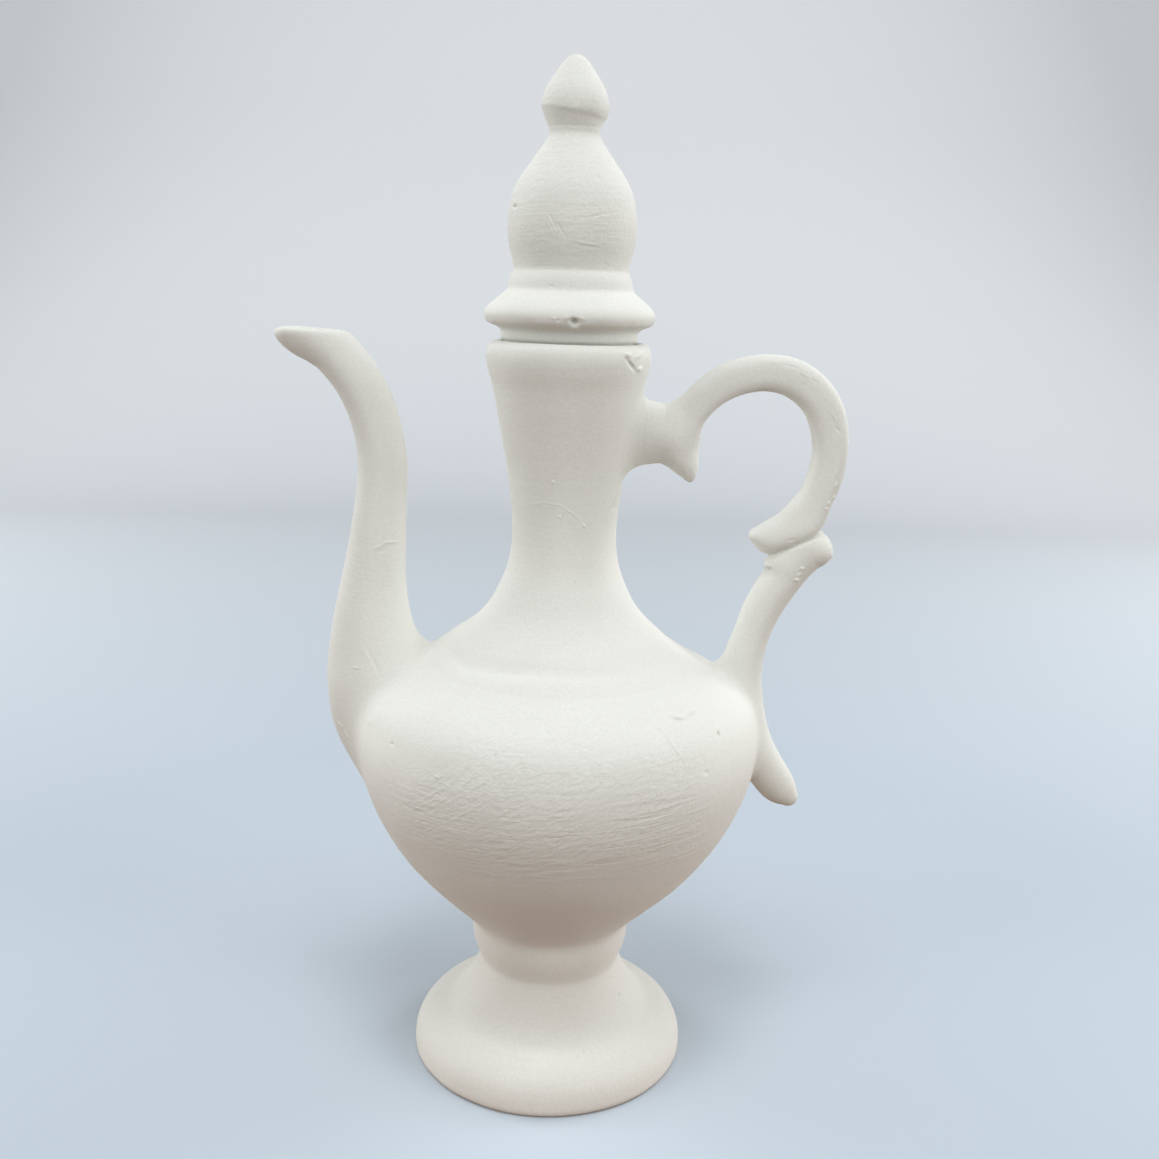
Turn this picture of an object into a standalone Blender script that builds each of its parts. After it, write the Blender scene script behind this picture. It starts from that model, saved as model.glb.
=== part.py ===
"""A cast bisque ewer: pedestal foot, round belly, flared neck, curved spout, scroll handle and a
stopper lid with a bud finial. Metres, +Z up, origin on the table at the vessel's axis.
The spout points to -X and the handle to +X."""

import math

import bmesh
import bpy
import numpy as np
from mathutils import Vector

MM = 0.001

# Driving dimensions, in millimetres
HEIGHT = 330.0  # table to the tip of the bud
FOOT_RADIUS = 47.1  # widest ring of the foot
BELLY_RADIUS = 66.5  # the belly at its widest; spout and handle reach out with it
RIM_RADIUS = 26.1  # the neck's rim; the lid goes with it
WALL = 4.7  # shell thickness of the castings
SPOUT_WALL = 3.2
GAP = 0.3  # joint clearance between neighbouring castings

SEGMENTS = 48  # facets round the vessel
LID_SEGMENTS = 40
BUD_SEGMENTS = 32
SPOUT_SEGMENTS = 28
BORE_SEGMENTS = 20
HANDLE_SEGMENTS = 18
CAP_DEPTH = 0.8  # a limb's rounded end, as a share of its half-width
CAP_RINGS = (0.35, 0.75)  # where the rings of a rounded end lie between its pole and the limb
CLAY_ROUGHNESS = 0.85
SHARP_ANGLE = 38.0  # degrees; creases duller than this are shaded smooth

# The drawing: every outline below is drawn at these sizes, and stretched to those above
DRAWN_HEIGHT = 330.0
DRAWN_FOOT = 47.1
DRAWN_BELLY = 66.5
DRAWN_RIM = 26.1
# heights on the drawing between which the foot's width passes into the belly's, and the belly's
# into the rim's
FOOT_PART_TOP, BELLY_PART_LOW = 18.0, 60.0
BELLY_PART_TOP, RIM_PART_LOW = 142.1, 200.0

# turned outlines, (radius, height), written from bottom to top
FOOT_OUTLINE = [
    (46.5, 0.0), (47.1, 1.4), (47.0, 4.2), (46.6, 6.6), (45.6, 9.2), (43.8, 11.6), (41.0, 13.8),
    (37.8, 15.3), (35.0, 16.2), (33.2, 17.0), (31.6, 18.6), (29.6, 21.4), (27.4, 25.4), (25.6, 29.4),
    (23.5, 34.4), (25.0, 36.3), (26.3, 39.4), (26.9, 43.2), (26.8, 47.0), (26.4, 51.0),
]
BELLY_OUTLINE = [
    (26.4, 51.3), (31.2, 55.0), (38.0, 61.2), (45.0, 68.2), (50.6, 74.8), (55.4, 81.6), (59.4, 88.8),
    (62.6, 95.8), (65.0, 103.2), (66.2, 109.8), (66.5, 116.0), (65.8, 122.2), (63.6, 128.6),
    (59.4, 133.4), (52.6, 137.8), (44.5, 142.1),
]
NECK_OUTLINE = [
    (44.5, 142.1), (37.4, 147.2), (31.6, 152.1), (27.2, 156.4), (23.6, 161.1), (20.7, 166.8),
    (18.3, 173.0), (17.1, 179.8), (17.0, 187.0), (17.6, 195.5), (18.9, 205.5), (20.7, 215.0),
    (22.4, 223.5), (23.9, 231.0), (25.4, 236.3), (26.1, 240.6), (25.6, 243.6), (24.2, 245.1),
    (23.2, 245.4),
]
# the mouth inside the rim, from the top down; the plug wedges in it
MOUTH_LINE = [(21.95, 245.4), (21.15, 244.9), (20.8, 241.4)]
# one lid casting: tapered plug, rounded flange, collar ring and onion dome
LID_OUTLINE = [
    (17.1, 226.0), (20.85, 245.4), (21.5, 248.9), (23.0, 250.0), (25.5, 250.8), (26.8, 252.9),
    (26.2, 255.3), (24.0, 257.5), (21.4, 259.6), (19.5, 261.2), (19.2, 263.6), (18.6, 265.5),
    (17.7, 267.2), (18.5, 270.6), (19.6, 275.2), (20.0, 280.6), (19.5, 285.8), (18.1, 290.9),
    (15.7, 295.3), (12.6, 299.6), (9.6, 303.8), (8.0, 306.6), (7.6, 308.0),
]
FINIAL_OUTLINE = [
    (7.6, 308.3), (8.4, 310.1), (9.5, 312.8), (10.0, 315.6), (9.6, 318.3), (8.4, 321.2), (6.6, 324.0),
    (4.4, 327.0), (2.0, 329.4), (0.0, 330.0),
]
# hollows inside, guessed
FOOT_HOLLOW = [
    (41.6, 0.0), (41.2, 4.0), (38.0, 8.4), (31.0, 11.8), (26.6, 15.0), (23.6, 20.0), (20.8, 27.0),
    (18.9, 33.0), (19.4, 37.0), (21.6, 41.0), (18.0, 45.6), (0.0, 46.0),
]
BELLY_FLOOR = [(0.0, 56.4), (24.0, 57.0)]
LID_HOLLOW = [
    (0.0, 302.6), (5.0, 301.4), (9.4, 296.8), (13.2, 290.2), (15.2, 282.6), (15.2, 274.0),
    (13.8, 266.5), (15.4, 258.0), (16.4, 248.0), (13.2, 226.0),
]

# limbs: (x, height, half-width in the middle plane, half-depth) along their centre lines
SPOUT_LINE = [
    (-44.0, 108.0, 22.0, 15.0), (-52.0, 120.5, 24.0, 16.0), (-57.8, 131.0, 21.0, 15.4),
    (-61.6, 141.5, 15.8, 13.4), (-62.6, 152.5, 12.9, 11.8), (-62.0, 166.5, 10.5, 10.2),
    (-60.5, 182.0, 9.0, 9.0), (-59.2, 196.0, 8.1, 8.2), (-59.0, 206.0, 7.9, 7.9),
    (-60.2, 215.0, 7.7, 7.7), (-62.8, 224.0, 7.6, 7.6), (-67.2, 232.5, 7.6, 7.6),
    (-73.6, 239.8, 7.7, 7.5), (-78.2, 243.7, 8.6, 7.6), (-82.4, 248.2, 9.3, 7.8),
    (-83.4, 254.0, 9.2, 7.8),
]
BORE_START = (-36.0, 112.0, 6.0, 6.0)  # the spout's bore begins inside the belly
SOLID_COUNT = 3  # stations of the spout's line before the bore follows it
ROOT_WIDTH = 10.0  # where the spout is wider than this, its wall thickens towards the root
ROOT_SHARE = 0.45
MOUTH_CUT = 247.2  # level cut of the spout's mouth
BRACKET_LINE = [
    (12.0, 217.6, 11.2, 7.4), (24.0, 217.4, 10.4, 6.6), (29.5, 217.2, 9.4, 6.0),
    (33.2, 217.0, 9.0, 5.7), (35.8, 216.6, 5.4, 4.7),
]
SPUR_LINE = [
    (34.0, 216.0, 7.0, 5.2), (36.8, 210.4, 5.4, 5.0), (38.9, 206.2, 3.5, 3.9), (39.9, 203.6, 1.9, 2.2),
]
ARC_LINE = [
    (33.8, 217.6, 5.0, 4.9), (39.4, 224.8, 5.5, 5.4), (45.2, 230.8, 5.4, 5.5), (52.4, 235.3, 5.6, 5.6),
    (61.2, 237.4, 5.7, 5.8), (69.4, 236.6, 6.0, 5.9), (76.0, 233.2, 6.1, 6.0), (81.0, 227.8, 6.0, 6.0),
    (83.9, 220.4, 5.8, 5.8), (84.8, 212.2, 5.5, 5.7), (83.7, 204.6, 5.5, 5.7), (81.2, 197.5, 5.4, 5.8),
    (78.2, 191.4, 6.7, 6.1), (76.6, 186.8, 7.4, 6.1),
]
# the scroll's end juts inwards over the crease, and the strut's head juts outwards under it
TOE_LINE = [
    (76.4, 187.6, 7.3, 6.1), (71.4, 185.0, 6.8, 6.1), (67.8, 184.2, 5.6, 5.5), (62.8, 184.8, 2.4, 3.9),
]
STRUT_LINE = [
    (78.0, 182.0, 6.6, 6.2), (76.0, 177.6, 6.9, 6.2), (72.6, 171.4, 6.5, 6.2), (69.1, 165.8, 6.4, 6.2),
    (65.8, 159.2, 6.2, 6.1), (63.2, 151.6, 6.0, 6.1), (61.2, 143.6, 6.5, 6.4), (60.8, 135.0, 6.7, 6.6),
    (62.2, 126.0, 6.6, 6.4), (65.6, 115.2, 6.1, 6.0), (69.9, 105.8, 6.4, 5.6), (74.7, 98.6, 6.2, 4.8),
    (79.0, 94.3, 3.6, 3.2),
]
HEEL_LINE = [
    (73.5, 175.5, 7.3, 6.1), (79.2, 180.4, 7.3, 6.1), (82.4, 180.4, 5.6, 5.8), (85.9, 179.5, 2.4, 4.1),
]
# the slanting crease where the strut's head meets the scroll, from outside to inside
CREASE = [(84.2, 188.2), (65.9, 177.0)]

WARM_WHITE = (0.80, 0.78, 0.72, 1.0)


def turned_size(points):
    """A turned outline stretched to the driving dimensions."""
    heights = [0.0, FOOT_PART_TOP, BELLY_PART_LOW, BELLY_PART_TOP, RIM_PART_LOW, DRAWN_HEIGHT]
    foot, belly, rim = FOOT_RADIUS / DRAWN_FOOT, BELLY_RADIUS / DRAWN_BELLY, RIM_RADIUS / DRAWN_RIM
    p = np.array(points, float)
    wider = np.interp(p[:, 1], heights, [foot, foot, belly, belly, rim, rim])
    return np.stack([p[:, 0] * wider, p[:, 1] * HEIGHT / DRAWN_HEIGHT], axis=1)


def limb_size(points):
    """A limb's stations, or points beside it, stretched to the driving dimensions."""
    p = np.array(points, float) * BELLY_RADIUS / DRAWN_BELLY
    p[:, 1] = np.array(points, float)[:, 1] * HEIGHT / DRAWN_HEIGHT
    return p


def offset(points, distance):
    """The (radius, height) curve moved to its left: inwards on an outline drawn upwards."""
    p = np.array(points, float)
    along = np.gradient(p, axis=0)
    along /= np.linalg.norm(along, axis=1)[:, None]
    normal = np.stack([-along[:, 1], along[:, 0]], axis=1)
    return p + normal * distance


def new_object(name, bm):
    bmesh.ops.recalc_face_normals(bm, faces=bm.faces[:])
    mesh = bpy.data.meshes.new(name)
    bm.to_mesh(mesh)
    bm.free()
    obj = bpy.data.objects.new(name, mesh)
    bpy.context.scene.collection.objects.link(obj)
    return obj


def turned(name, profile, segments, centre_height=0.0):
    """A closed solid of revolution. The profile is a closed loop of (radius, height); a point on
    the axis makes a pole. The object's origin is on the axis at centre_height."""
    bm = bmesh.new()
    rings = []
    for radius, height in profile:
        z = (height - centre_height) * MM
        if radius < 1e-6:
            rings.append([bm.verts.new((0.0, 0.0, z))])
            continue
        ring = []
        for k in range(segments):
            angle = 2 * math.pi * k / segments
            ring.append(bm.verts.new((radius * MM * math.cos(angle), radius * MM * math.sin(angle), z)))
        rings.append(ring)
    for one, two in zip(rings, rings[1:] + rings[:1]):
        if len(one) == 1 and len(two) == 1:
            continue
        for k in range(segments):
            after = (k + 1) % segments
            if len(one) == 1:
                face = (one[0], two[after], two[k])
            elif len(two) == 1:
                face = (one[k], one[after], two[0])
            else:
                face = (one[k], one[after], two[after], two[k])
            bm.faces.new(face)
    return new_object(name, bm)


def limb(name, path, sides):
    """A solid limb swept along its centre line in the XZ plane, with oval sections and round ends."""
    along = np.gradient(path[:, :2], axis=0)
    along /= np.linalg.norm(along, axis=1)[:, None]
    stations = []
    # rounded caps: half an ellipsoid at each end
    for share in CAP_RINGS:
        size = path[0, 2:] * math.sqrt(1 - (1 - share) ** 2)
        reach = path[0, 2] * (1 - share) * CAP_DEPTH
        stations.append((path[0, :2] - along[0] * reach, along[0], size))
    for spot, way in zip(path, along):
        stations.append((spot[:2], way, spot[2:]))
    for share in reversed(CAP_RINGS):
        size = path[-1, 2:] * math.sqrt(1 - (1 - share) ** 2)
        reach = path[-1, 2] * (1 - share) * CAP_DEPTH
        stations.append((path[-1, :2] + along[-1] * reach, along[-1], size))
    bm = bmesh.new()
    rings = []
    for spot, way, (wide, deep) in stations:
        side = np.array([-way[1], way[0]])
        ring = []
        for k in range(sides):
            angle = 2 * math.pi * k / sides
            x, z = (spot + side * wide * math.cos(angle)) * MM
            ring.append(bm.verts.new((x, deep * MM * math.sin(angle), z)))
        rings.append(ring)
    for one, two in zip(rings, rings[1:]):
        for k in range(sides):
            bm.faces.new((one[k], one[(k + 1) % sides], two[(k + 1) % sides], two[k]))
    for ring, spot, way, size in ((rings[0], path[0], -along[0], path[0, 2]),
                                  (rings[-1], path[-1], along[-1], path[-1, 2])):
        tip = (spot[:2] + way * size * CAP_DEPTH) * MM
        pole = bm.verts.new((tip[0], 0.0, tip[1]))
        for k in range(sides):
            bm.faces.new((ring[k], ring[(k + 1) % sides], pole))
    return new_object(name, bm)


def block(name, low, high):
    """A box between two corners, in millimetres."""
    bm = bmesh.new()
    bmesh.ops.create_cube(bm, size=1.0)
    low, high = Vector(low) * MM, Vector(high) * MM
    for vertex in bm.verts:
        vertex.co = Vector([(lo + hi) / 2 + c * (hi - lo) for c, lo, hi in zip(vertex.co, low, high)])
    return new_object(name, bm)


def helper(obj):
    obj.hide_render = True
    obj.display_type = "WIRE"
    return obj


def boolean(obj, operation, other):
    step = obj.modifiers.new(operation.lower() + "_" + other.name, "BOOLEAN")
    step.operation = operation
    step.solver = "EXACT"
    step.object = helper(other)


def fired_clay(name):
    material = bpy.data.materials.new(name)
    material.use_nodes = True
    shader = material.node_tree.nodes["Principled BSDF"]
    shader.inputs["Base Color"].default_value = WARM_WHITE
    shader.inputs["Roughness"].default_value = CLAY_ROUGHNESS
    shader.inputs["Metallic"].default_value = 0.0
    material.diffuse_color = WARM_WHITE
    return material


def finish(obj):
    obj.data.shade_smooth()
    obj.data.set_sharp_from_angle(angle=math.radians(SHARP_ANGLE))
    obj.data.materials.append(fired_clay("bisque_" + obj.name))


for old in list(bpy.data.objects):
    bpy.data.objects.remove(old, do_unlink=True)

# the lid slides up along the axis; its frame stands on the axis at the rim
rim_top = NECK_OUTLINE[-1][1] * HEIGHT / DRAWN_HEIGHT
ewer = bpy.data.objects.new("ewer_frame", None)
stopper = bpy.data.objects.new("stopper_frame", None)
stopper.location.z = rim_top * MM
stopper.parent = ewer
bpy.context.scene.collection.objects.link(ewer)
bpy.context.scene.collection.objects.link(stopper)

# Turned castings
foot_outside = turned_size(FOOT_OUTLINE)
knop_top = foot_outside[-1][1]
foot = turned("foot", list(foot_outside) + [(0.0, knop_top)]
              + list(turned_size(FOOT_HOLLOW[::-1])), SEGMENTS)

belly_outside = turned_size(BELLY_OUTLINE)
belly_inside = offset(belly_outside, WALL)[3::2]
belly = turned("belly", [(0.0, belly_outside[0][1])] + list(belly_outside) + list(belly_inside[::-1])
               + list(turned_size(BELLY_FLOOR[::-1])), SEGMENTS)

neck_outside = turned_size(NECK_OUTLINE)
neck_inside = offset(neck_outside, WALL)
# the seam face follows the shoulder's thickness, one joint gap above the belly's top edge
belly_top_out = belly_outside[-1]
belly_top_in = belly_inside[-1]
across = (belly_top_in - belly_top_out) / np.linalg.norm(belly_top_in - belly_top_out)
up_slope = np.array([across[1], -across[0]])
up_slope = up_slope if up_slope[1] > 0 else -up_slope
neck = turned("neck", [tuple(belly_top_out + up_slope * GAP)] + list(neck_outside[1:])
              + list(turned_size(MOUTH_LINE)) + list(neck_inside[2:-4:2][::-1])
              + [tuple(belly_top_in + up_slope * GAP)], SEGMENTS)

lid_outside = turned_size(LID_OUTLINE)
lid = turned("lid", list(lid_outside) + [(0.0, lid_outside[-1][1])] + list(turned_size(LID_HOLLOW)),
             LID_SEGMENTS, rim_top)

bud_outside = turned_size(FINIAL_OUTLINE)
finial = turned("finial", [(0.0, bud_outside[0][1])] + list(bud_outside), BUD_SEGMENTS, rim_top)

# Spout, luted on the belly; its seat and the handle's are the vessel's outside, one gap proud
vessel_outside = list(belly_outside) + list(neck_outside[1:])
seat = turned("cut_vessel_seat", [(0.0, knop_top)] + list(offset(vessel_outside, -GAP))
              + [(0.0, rim_top)], SEGMENTS)
spout_path = limb_size(SPOUT_LINE)
spout = limb("spout", spout_path, SPOUT_SEGMENTS)
bore_path = [limb_size([BORE_START])[0]]
for x, height, wide, deep in spout_path[SOLID_COUNT:]:
    bore_path.append((x, height, wide - SPOUT_WALL - max(0.0, (wide - ROOT_WIDTH) * ROOT_SHARE),
                      deep - SPOUT_WALL - max(0.0, (deep - ROOT_WIDTH) * ROOT_SHARE)))
spout_bore = limb("cut_spout_bore", np.array(bore_path), BORE_SEGMENTS)
mouth_level = MOUTH_CUT * HEIGHT / DRAWN_HEIGHT
mouth_cut = block("cut_spout_mouth", (-2 * BELLY_RADIUS, -BELLY_RADIUS, mouth_level),
                  (-BELLY_RADIUS / 2, BELLY_RADIUS, HEIGHT))
boolean(spout, "DIFFERENCE", seat)
boolean(spout, "DIFFERENCE", spout_bore)
boolean(spout, "DIFFERENCE", mouth_cut)
boolean(belly, "DIFFERENCE", spout_bore)

# Handle in two castings that meet at the crease
handle_scroll = limb("handle_scroll", limb_size(ARC_LINE), HANDLE_SEGMENTS)
bracket = limb("add_bracket", limb_size(BRACKET_LINE), HANDLE_SEGMENTS)
spur = limb("add_spur", limb_size(SPUR_LINE), HANDLE_SEGMENTS)
toe = limb("add_toe", limb_size(TOE_LINE), HANDLE_SEGMENTS)
heel = limb("add_heel", limb_size(HEEL_LINE), HANDLE_SEGMENTS)
handle_strut = limb("handle_strut", limb_size(STRUT_LINE), HANDLE_SEGMENTS)


def crease_block(name, above):
    """A block along the crease on its upper or lower side; it reaches half a gap past the crease."""
    outer, inner = limb_size(CREASE)
    along = (inner - outer) / np.linalg.norm(inner - outer)
    up = np.array([-along[1], along[0]])
    up = up if up[1] > 0 else -up
    obj = block(name, (-BELLY_RADIUS, -BELLY_RADIUS, 0.0), (BELLY_RADIUS, BELLY_RADIUS, BELLY_RADIUS))
    middle = (outer + inner) / 2 + up * (-GAP / 2 if above else GAP / 2)
    obj.location = (middle[0] * MM, 0.0, middle[1] * MM)
    tilt = math.atan2(up[0], up[1])
    obj.rotation_euler = (0.0, tilt if above else tilt + math.pi, 0.0)
    return obj


above_crease = crease_block("cut_above_crease", True)
below_crease = crease_block("cut_below_crease", False)
boolean(handle_scroll, "UNION", bracket)
boolean(handle_scroll, "UNION", spur)
boolean(handle_scroll, "UNION", toe)
boolean(handle_scroll, "DIFFERENCE", seat)
boolean(handle_scroll, "DIFFERENCE", below_crease)
boolean(handle_strut, "UNION", heel)
boolean(handle_strut, "DIFFERENCE", seat)
boolean(handle_strut, "DIFFERENCE", above_crease)

for piece in (foot, belly, neck, spout, handle_scroll, handle_strut):
    finish(piece)
    piece.parent = ewer
for piece in (lid, finial):
    finish(piece)
    piece.parent = stopper
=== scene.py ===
# %% [markdown]
# A slip-cast ewer in white bisque
#
# The real thing is a raw casting: liquid clay is poured in plaster moulds, the separate
# castings are luted together with slip, the joins are wiped with a wet sponge and the whole
# is fired once without glaze. This lesson dresses a finished mechanical model of it. The
# model gives every piece its place and never moves; here each piece gets the soft joins,
# the tool marks and the chalky surface that the eye sees.
#
# The forms are written in millimetres, with x towards the handle and height up from the
# table. The stage, the lamps and the camera are in metres.

# %% Load the frame
import math

import bpy
import numpy as np
from mathutils import Matrix, Vector


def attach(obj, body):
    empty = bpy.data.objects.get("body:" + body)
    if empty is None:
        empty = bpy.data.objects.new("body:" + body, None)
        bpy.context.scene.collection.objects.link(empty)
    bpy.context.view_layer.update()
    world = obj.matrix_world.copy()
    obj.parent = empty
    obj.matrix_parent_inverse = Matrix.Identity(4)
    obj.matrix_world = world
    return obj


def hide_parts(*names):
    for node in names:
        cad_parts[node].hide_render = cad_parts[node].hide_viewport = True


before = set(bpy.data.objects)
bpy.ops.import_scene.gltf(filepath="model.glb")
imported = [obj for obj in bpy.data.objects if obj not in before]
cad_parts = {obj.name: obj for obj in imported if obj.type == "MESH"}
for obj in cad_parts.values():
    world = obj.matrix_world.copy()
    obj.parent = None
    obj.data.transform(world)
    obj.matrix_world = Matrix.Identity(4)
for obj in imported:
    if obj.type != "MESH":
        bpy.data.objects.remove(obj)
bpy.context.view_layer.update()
MM = 0.001
print("nodes:", sorted(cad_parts))

# %% [markdown]
# Forms as distances
#
# The castings melt into each other, so hard-edged booleans would look wrong, and bevels
# along a curved join are fragile. A form written as a distance is the better way: a function
# takes points and answers how far each one is from the clay, less than nothing inside.
# Two distances can then be merged with a fillet, cut with a rounded edge or dented, all with
# plain arithmetic, which is what a finger with wet slip does.

# %% Curves through a few points
def curve(points, steps=5):
    """A Catmull-Rom curve through the points, with this many steps from each to the next."""
    p = np.array(points, float)
    ends = np.vstack([2 * p[0] - p[1], p, 2 * p[-1] - p[-2]])
    out = []
    for i in range(len(p) - 1):
        a, b, c, d = ends[i : i + 4]
        for t in np.arange(steps) / steps:
            bend = (2 * a - 5 * b + 4 * c - d) * t**2 + (3 * b - a - 3 * c + d) * t**3
            out.append(0.5 * (2 * b + (c - a) * t + bend))
    out.append(p[-1])
    return np.array(out)


def outline(*strokes):
    """One (radius, height) line from several strokes. Each stroke is smooth; they meet in a corner."""
    return np.vstack([curve(s) if len(s) > 2 else np.array(s, float) for s in strokes])


print("a curve through 3 points is drawn with", len(curve([(0, 0), (5, 8), (10, 0)])), "points")

# %% [markdown]
# Turned pieces
#
# Foot, belly, neck and lid began as turned models for the plaster mould, so each is one
# outline spun round the axis. The distance to such a body is the same all the way round:
# it is worked out once, in a table of radius and height, and looked up from then on. A blur
# passed over the table a few times rounds every corner, which is what a wet sponge does.

# %% A turned form
TABLE_CELL = 0.3
SPONGE_PASSES = 5  # passes of a sponge that rounds every corner to about half a millimetre


def turned_form(line):
    """Distance from a turned body. line goes from the axis, up the outside, to the axis again."""
    radii = np.arange(0.0, line[:, 0].max() + 16, TABLE_CELL)
    heights = np.arange(line[:, 1].min() - 16, line[:, 1].max() + 16, TABLE_CELL)
    r, z = np.meshgrid(radii, heights, indexing="ij")
    nearest = np.full(r.shape, 1e9)
    inside = np.zeros(r.shape, bool)
    for (r0, z0), (r1, z1) in zip(line, line[1:]):
        dr, dz = r1 - r0, z1 - z0
        t = np.clip(((r - r0) * dr + (z - z0) * dz) / max(dr * dr + dz * dz, 1e-12), 0, 1)
        nearest = np.minimum(nearest, (r - r0 - t * dr) ** 2 + (z - z0 - t * dz) ** 2)
        if dz:
            inside ^= ((z0 <= z) != (z1 <= z)) & (r < r0 + (z - z0) * dr / dz)
    table = np.sqrt(nearest) * np.where(inside, -1, 1)
    for _ in range(SPONGE_PASSES):
        wide = np.pad(table, ((1, 1), (0, 0)), mode="reflect")
        table = (wide[:-2] + 2 * wide[1:-1] + wide[2:]) / 4
        tall = np.pad(table, ((0, 0), (1, 1)), mode="edge")
        table = (tall[:, :-2] + 2 * tall[:, 1:-1] + tall[:, 2:]) / 4

    def distance(p):
        i = np.clip(np.hypot(p[:, 0], p[:, 1]) / TABLE_CELL, 0, len(radii) - 1.001)
        j = np.clip((p[:, 2] - heights[0]) / TABLE_CELL, 0, len(heights) - 1.001)
        i0, j0 = i.astype(int), j.astype(int)
        u, v = i - i0, j - j0
        low = table[i0, j0] * (1 - v) + table[i0, j0 + 1] * v
        return low * (1 - u) + (table[i0 + 1, j0] * (1 - v) + table[i0 + 1, j0 + 1] * v) * u

    return distance


rod = turned_form(np.array([(0, 0), (5, 0), (5, 20), (0, 20)], float))
print("a rod 10 mm thick, seen 8 mm off its axis:", rod(np.array([[8.0, 0, 10]])).round(2), "mm away")

# %% [markdown]
# Limbs
#
# Spout and handle came out of two-part moulds: a centre line with a section that changes
# along it. A curve object with a bevel could carry a round section, but it folds in a tight
# bend and takes no fillet. As a distance, each point only asks which stretch of the line
# is nearest, and the section may be oval or boxy.

# %% A limb swept along a line
FAR = 60.0


def limb_form(line, steps=5, squareness=2.0):
    """Distance from a limb. Each point of the line is (x, height, half-width in the middle
    plane, half-depth across it). A section is oval at squareness 2 and boxier above."""
    path = curve(line, steps)
    start, span = path[:-1], np.diff(path, axis=0)
    length = (span[:, :2] ** 2).sum(1)
    margin = path[:, 2:].max() + 12
    low, high = path[:, :2].min(0) - margin, path[:, :2].max(0) + margin

    def distance(p):
        away = np.full(len(p), FAR)
        near = (p[:, 0] > low[0]) & (p[:, 0] < high[0]) & (p[:, 2] > low[1]) & (p[:, 2] < high[1])
        near = np.flatnonzero(near & (np.abs(p[:, 1]) < margin))
        for some in np.array_split(near, len(near) // 20000 + 1):
            x = p[some, 0, None] - start[:, 0]
            z = p[some, 2, None] - start[:, 1]
            t = np.clip((x * span[:, 0] + z * span[:, 1]) / length, 0, 1)
            flat = np.hypot(x - t * span[:, 0], z - t * span[:, 1])
            wide = start[:, 2] + t * span[:, 2]
            deep = start[:, 3] + t * span[:, 3]
            ratio = (flat / wide) ** squareness + np.abs(p[some, 1, None] / deep) ** squareness
            ratio = ratio ** (1 / squareness) + 1e-6
            size = (np.hypot(flat, p[some, 1, None]) + 1e-6 * deep) / ratio
            away[some] = ((ratio - 1) * size).min(1)
        return away

    return distance


limb = limb_form([(0, 0, 2, 2), (0, 10, 2, 2)])
print("a limb 4 mm thick, seen 5 mm off its line:", limb(np.array([[5.0, 0, 5]])).round(2), "mm away")

# %% [markdown]
# Joining and paring
#
# Wet castings are joined with slip and pared with a knife. On distances both are one line
# of arithmetic: the lesser of two is both bodies at once, a little less where they are
# nearly equal is the fillet of slip, and a cut is the same join seen from inside the clay.

# %% Merging and cutting
def merge(one, other, fillet):
    """Two forms as one body, with a soft fillet of about this size where they meet."""
    close = np.maximum(fillet - np.abs(one - other), 0) / fillet
    return np.minimum(one, other) - close**3 * fillet / 6


def cut(body, tool, edge):
    """The body without what lies inside the tool, with its edges rounded over this size."""
    return -merge(-body, tool, edge)


both = merge(np.zeros(1), np.zeros(1), 6.0)
print("a 6 mm fillet lays", -float(both[0]), "mm of slip in a corner")


# %% [markdown]
# What the hand leaves
#
# A piece that was wiped by hand is never quite true, and a perfect form looks like plastic.
# The form itself is bent a little: slow swells all over it, and a soft fold where the neck
# was luted on the belly. A weight that fades round one place lets a join be tighter or
# fuller there than elsewhere.

# %% Small unevenness
def close_to(p, x, height, size):
    """1 at a place of the middle plane, falling to 0 over this size all round it."""
    return np.exp(-((p[:, 0] - x) ** 2 + (p[:, 2] - height) ** 2 + 0.3 * p[:, 1] ** 2) / size**2)


WIPE = 0.07  # half of what the swells come to where they add up


def unevenness(p):
    """The slow swells that wiping by hand leaves, each 20 to 50 mm long."""
    x, y, z = p.T
    swell = np.sin(x / 7.3 + z / 11.0) * np.sin(y / 8.1 - z / 9.4 + 0.7)
    swell += np.sin(x / 4.9 - y / 5.7 + 1.9) * np.sin(z / 5.3 + y / 13.0)
    return WIPE * swell


def shoulder_fold(p, radius):
    """The fold where the neck's casting was luted on the belly: a groove with a low swell
    outside it, deepest towards the spout, and only on the shoulder, above the height of 132."""
    seam = np.interp(p[:, 0], (-30, -8, 20), (38.6, 36.6, 37.6))
    fold = 0.6 * np.exp(-(((radius - seam) / 2.2) ** 2))
    fold -= 0.25 * np.exp(-(((radius - seam - 5.0) / 3.5) ** 2))
    depth = np.interp(p[:, 0], (-40, -28, -14, -2, 18), (0.4, 1.5, 1.3, 0.8, 0.35))
    return fold * depth * np.clip((p[:, 2] - 132) / 4, 0, 1)


print("wiping bends the form by up to", 2 * WIPE, "mm")

# %% [markdown]
# The pot
#
# The pot's profile goes from the flat footring up over the rounded foot, in through a hollow
# flare, out over a small round knop, round the full belly and up the neck to the thick rim.
# Spinning a mesh would do for the profile, but not for its wiped joins. Each stretch below
# is a smooth stroke of (radius, height); two strokes meet in a corner that the sponge rounds.

# %% The turned outline
WALL = 4.7
RIM_TOP = 245.4
KNOP_TOP = 51.2
SEAM_RADIUS, SEAM_HEIGHT = 44.5, 142.1

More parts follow.
